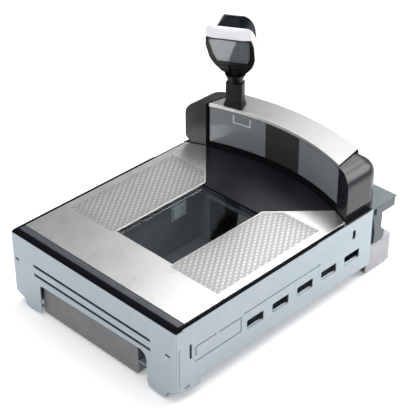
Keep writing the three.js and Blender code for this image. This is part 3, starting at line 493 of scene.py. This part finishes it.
def platter_dots():
    """The raised dots pressed into the platter on each side of its window."""
    plate_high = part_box("platter_plate")[1]
    cover_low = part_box("platter_rear_cover")[0]
    window_low, window_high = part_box("platter_window")
    first_x, last_x = window_high.x + ZONE_FROM_WINDOW, plate_high.x - ZONE_FROM_EDGE
    first_y, last_y = window_low.y - ZONE_BEFORE_WINDOW, window_high.y + ZONE_PAST_WINDOW
    # the dark cover's edge runs out at 45 degrees from the window's rear corner
    corner_x, corner_y = window_high.x + COVER_CORNER_X, cover_low.y + COVER_CORNER_Y
    rows = int((last_y - first_y) / DOT_ROW)
    columns = int((last_x - first_x) / DOT_PITCH)
    # the zone is rougher than the plain steel round it; its darker colour, and the dots', is painted shade
    # of the pressed texture
    low_x = first_x - ZONE_BORDER
    high_x = first_x + columns * DOT_PITCH + ZONE_BORDER - DOT_PITCH / 2
    low_y, high_y = first_y - ZONE_BORDER, first_y + (rows - 1) * DOT_ROW + ZONE_BORDER
    slant = corner_y - corner_x - ZONE_FROM_COVER
    outline = [(low_x, low_y), (high_x, low_y), (high_x, high_y)]
    if low_x + slant < high_y:
        outline.append((high_y - slant, high_y))
    outline.append((low_x, min(high_y, low_x + slant)))
    for side, sign in (("left", -1), ("right", 1)):
        zone = bmesh.new()
        rings = [[Vector((sign * x, y, plate_high.z + z)) for x, y in outline] for z in ZONE_LEVELS]
        ring_body(zone, rings)
        piece(f"platter_zone_{side}", zone, ZONE_SHADE_STEEL, "platter", smooth=False)
        bm = bmesh.new()
        for row in range(rows):
            shift = DOT_PITCH / 2 if row % 2 else 0
            y = first_y + row * DOT_ROW
            for column in range(columns):
                # the pressing gets shallower towards the zone's border
                across = min(2 * column + row % 2, 2 * (columns - 1 - column) + 1)
                size = min(1.0, DOT_BORDER_SIZE + DOT_SIZE_STEP * min(row, rows - 1 - row, across))
                x = first_x + column * DOT_PITCH + shift
                if (y - corner_y) - (x - corner_x) < -DOT_FROM_COVER:
                    add_dot(bm, Vector((sign * x, y, plate_high.z)), size)
        piece(f"platter_dots_{side}", bm, DOT_SHADE_STEEL, "platter")


# the tower's long pieces follow circles about one centre
ARC_CENTRE_Y = -168 * MM
FACE_RADIUS = 309 * MM
REAR_RADIUS = 350 * MM
TOWER_HALF = 115 * MM


def on_arc(radius, x, z):
    return Vector((x, ARC_CENTRE_Y + math.sqrt(radius * radius - x * x), z))


def arc_sweep(bm, section, x0, x1, steps):
    """Sweeps a closed section of (radius, z) points along the tower's curve from x0 to x1."""
    rings = []
    for i in range(steps + 1):
        x = x0 + (x1 - x0) * i / steps
        rings.append([on_arc(radius, x, z) for radius, z in section])
    ring_body(bm, rings)


LIP_TURN = 1.1 * MM
LIP_PROUD = 0.12 * MM
LIP_FORWARD = 1.0 * MM
LIP_THICK = 0.8 * MM
LIP_STEPS = 60


def tower_lip():
    """The rolled front edge of the tower's steel cover, in a far lighter steel than the cover: a painted
    highlight along that edge.
    """
    low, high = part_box("tower_top_cover")
    top, front = high.z + LIP_PROUD, FACE_RADIUS - LIP_FORWARD
    centre, back = front + LIP_TURN, front + LIP_THICK
    section = [(centre + 0.6 * MM, top - 0.4 * MM), (centre, top)]
    for step in range(5):
        angle = math.radians(90 + 22.5 * step)
        section.append((centre + LIP_TURN * math.cos(angle), top - LIP_TURN + LIP_TURN * math.sin(angle)))
    section += [(front, low.z + 0.3 * MM), (front + 0.3 * MM, low.z - 0.1 * MM)]
    section += [(back, low.z - 0.1 * MM), (back, top - 1.5 * MM)]
    bm = bmesh.new()
    arc_sweep(bm, section, -high.x + 0.1 * MM, high.x - 0.1 * MM, LIP_STEPS)
    piece("tower_lip", bm, LIP_HIGHLIGHT_STEEL, "scanner_body")


# black strips at the tower's ends, painted shadow in the gaps by the end caps
GAP_SHADOW_HALF = 1.3 * MM
GAP_SHADOW_PROUD = 0.15 * MM
GAP_SHADOW_FORWARD = 1.4 * MM
END_LEAN = 0.2


def tower_gap_shadows():
    """Black strips that fill the gaps between the tower and its end caps: painted shadow of those gaps."""
    bottom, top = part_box("tower_frame")[0].z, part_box("tower_top_cover")[1].z + GAP_SHADOW_PROUD
    depth = REAR_RADIUS - FACE_RADIUS
    for side, sign in (("left", -1), ("right", 1)):
        bm = bmesh.new()
        rings = []
        for share in (0, 0.33, 0.67, 1):
            radius = FACE_RADIUS - GAP_SHADOW_FORWARD + depth * share
            x = TOWER_HALF - END_LEAN * depth * share
            inner, outer = sign * (x - GAP_SHADOW_HALF), sign * (x + GAP_SHADOW_HALF)
            corners = ((inner, bottom), (outer, bottom), (outer, top), (inner, top))
            rings.append([on_arc(radius, px, z) for px, z in corners])
        ring_body(bm, rings)
        piece(f"tower_gap_shadow_{side}", bm, RUBBER, "scanner_body")


RIM_BAR = 1.9 * MM
RIM_HEIGHT = 13 * MM
RIM_BELOW_PANE_TOP = 4 * MM
RIM_MARGIN = 3 * MM
# the lamp shows to the right of its own place, as it is seen at a slant through the pane
RIM_SLANT = 11.5 * MM


def tower_lamp_rim():
    """The pale U-shaped rim of the lamp that shows in the upper part of the left-hand window."""
    lamp_low, lamp_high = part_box("tower_lamp")
    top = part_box("tower_window_left")[1].z - RIM_BELOW_PANE_TOP
    bottom = top - RIM_HEIGHT
    x0, x1 = lamp_low.x - RIM_MARGIN + RIM_SLANT, lamp_high.x + RIM_MARGIN + RIM_SLANT
    near, far = FACE_RADIUS - 0.12 * MM, FACE_RADIUS + 0.1 * MM
    bm = bmesh.new()
    strips = [
        (x0, x0 + RIM_BAR, bottom, top),
        (x1 - RIM_BAR, x1, bottom, top),
        (x0 + RIM_BAR, x1 - RIM_BAR, bottom, bottom + RIM_BAR),
    ]
    for left, right, z0, z1 in strips:
        arc_sweep(bm, [(near, z0), (near, z1), (far, z1), (far, z0)], left, right, 4)
    piece("tower_lamp_rim", bm, RIM_GREY, "scanner_body")


# (share of the head's radius, share of its height), then the six-sided socket going down
SCREW_HEAD = ((1.0, -0.3), (1.0, 0.35), (0.9, 0.7), (0.72, 0.92), (0.5, 1.0))
SCREW_SOCKET = ((0.42, 1.0), (0.42, 0.35))
SCREW_SIDES = 24
SCREW_HEIGHT = 0.45


def add_screw(bm, centre, outward, radius):
    """A button-head screw with a hexagonal socket, standing on a surface that faces outward."""
    across = outward.orthogonal().normalized()
    up = outward.cross(across)
    height = radius * SCREW_HEIGHT
    rings = []
    for share, rise in SCREW_HEAD:
        rings.append(circle(centre + outward * height * rise, across, up, radius * share, SCREW_SIDES))
    for share, rise in SCREW_SOCKET:
        middle = centre + outward * height * rise
        ring = []
        for i in range(SCREW_SIDES):
            turn = 2 * math.pi * i / SCREW_SIDES
            corner = (turn + math.pi / 6) % (math.pi / 3) - math.pi / 6
            arm = radius * share * math.cos(math.pi / 6) / math.cos(corner)
            ring.append(middle + (across * math.cos(turn) + up * math.sin(turn)) * arm)
        rings.append(ring)
    ring_body(bm, rings)


def screws(name, places, outward, radius, material, body):
    bm = bmesh.new()
    for place in places:
        add_screw(bm, Vector(place), Vector(outward), radius)
    piece(name, bm, material, body)


def prism(bm, low, high, chamfer):
    """A block whose outer end, towards +Y, is drawn in by a chamfer."""
    rings = []
    for y, inset in ((low.y, 0), (high.y - chamfer, 0), (high.y, chamfer)):
        x0, x1, z0, z1 = low.x + inset, high.x - inset, low.z + inset, high.z - inset
        rings.append([Vector(point) for point in ((x0, y, z0), (x1, y, z0), (x1, y, z1), (x0, y, z1))])
    ring_body(bm, rings)


# the metal blades inside a socket: their row's side margins, their root and their set-back tip
CONTACT_MARGINS = 7 * MM
CONTACT_ROOT = 4.8 * MM
CONTACT_SET_BACK = 3 * MM
CONTACT_CHAMFER = 0.25 * MM


def socket_contacts(name, node, count, width, height):
    """Metal blades in a row inside a socket's mouth."""
    low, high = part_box(node)
    middle = (low + high) / 2
    pitch = (high.x - low.x - CONTACT_MARGINS) / (count - 1)
    bm = bmesh.new()
    for i in range(count):
        x = middle.x + (i - (count - 1) / 2) * pitch
        start = Vector((x - width / 2, low.y + CONTACT_ROOT, middle.z - height / 2))
        end = Vector((x + width / 2, high.y - CONTACT_SET_BACK, middle.z + height / 2))
        prism(bm, start, end, CONTACT_CHAMFER)
    piece(name, bm, SCREW_ZINC, "scanner_body", smooth=False)


# how far screws stand in from the edges of what they hold
SHELL_SCREW_INSET = 9 * MM
PANEL_SCREW_INSET = 8 * MM
SHELF_SCREW_X = (-118 * MM, -40 * MM, 40 * MM, 118 * MM)
PAN_SCREW_X = (-122 * MM, 110 * MM)
PAN_SCREW_Y = (-150 * MM, -20 * MM, 110 * MM)
TUB_SCREW_Y = (-184 * MM, -24 * MM, 134 * MM)


def tower_rear_screws():
    """Two screws near each end of the tower's curved rear shell."""
    low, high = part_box("tower_rear_shell")
    for side, sign in (("left", -1), ("right", 1)):
        x = sign * (high.x - SHELL_SCREW_INSET)
        levels = (low.z + SHELL_SCREW_INSET, high.z - SHELL_SCREW_INSET)
        places = [on_arc(REAR_RADIUS, x, z) for z in levels]
        outward = Vector((places[0].x, places[0].y - ARC_CENTRE_Y, 0)).normalized()
        name = f"tower_rear_screws_{side}"
        screws(name, places, outward, 2.2 * MM, SCREW_DARK, "scanner_body")


def all_screws():
    """The screws that hold the housings, the shelf and the floor pan."""
    panel_low, panel_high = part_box("rear_housing")
    rows = (panel_low.z + PANEL_SCREW_INSET, panel_high.z - PANEL_SCREW_INSET)
    columns = (panel_low.x + SHELL_SCREW_INSET, 0, panel_high.x - SHELL_SCREW_INSET)
    rear = [(x, panel_high.y, z) for x in columns for z in rows]
    screws("rear_housing_screws", rear, (0, 1, 0), 2.6 * MM, SCREW_ZINC, "scanner_body")
    shelf_low, shelf_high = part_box("rear_shelf")
    shelf_y = (shelf_low.y + shelf_high.y) / 2
    shelf = [(x, shelf_y, shelf_high.z) for x in SHELF_SCREW_X]
    screws("rear_shelf_screws", shelf, (0, 0, 1), 2.4 * MM, SCREW_ZINC, "scanner_body")
    pan_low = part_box("floor_pan")[0]
    under = [(x, y, pan_low.z) for x in PAN_SCREW_X for y in PAN_SCREW_Y]
    screws("floor_pan_screws", under, (0, 0, -1), 2.4 * MM, SCREW_ZINC, "scanner_body")
    tub_low, tub_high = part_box("lower_housing")
    tub_x = (tub_low.x + SHELL_SCREW_INSET, tub_high.x - SHELL_SCREW_INSET)
    tub = [(x, y, tub_low.z) for x in tub_x for y in TUB_SCREW_Y]
    screws("lower_housing_screws", tub, (0, 0, -1), 2.2 * MM, SCREW_DARK, "scanner_body")
    tower_rear_screws()


add_camera()
add_world()
add_floor()
for light, setting in LIGHTS.items():
    add_light(light, *setting)
finish_nodes()
platter_dots()
tower_lip()
tower_gap_shadows()
tower_lamp_rim()
all_screws()
socket_contacts("power_contacts", "power_socket", 3, 1.6 * MM, 5 * MM)
socket_contacts("data_contacts", "data_socket", 6, 0.7 * MM, 2.4 * MM)

bpy.context.scene.view_settings.view_transform = "Standard"
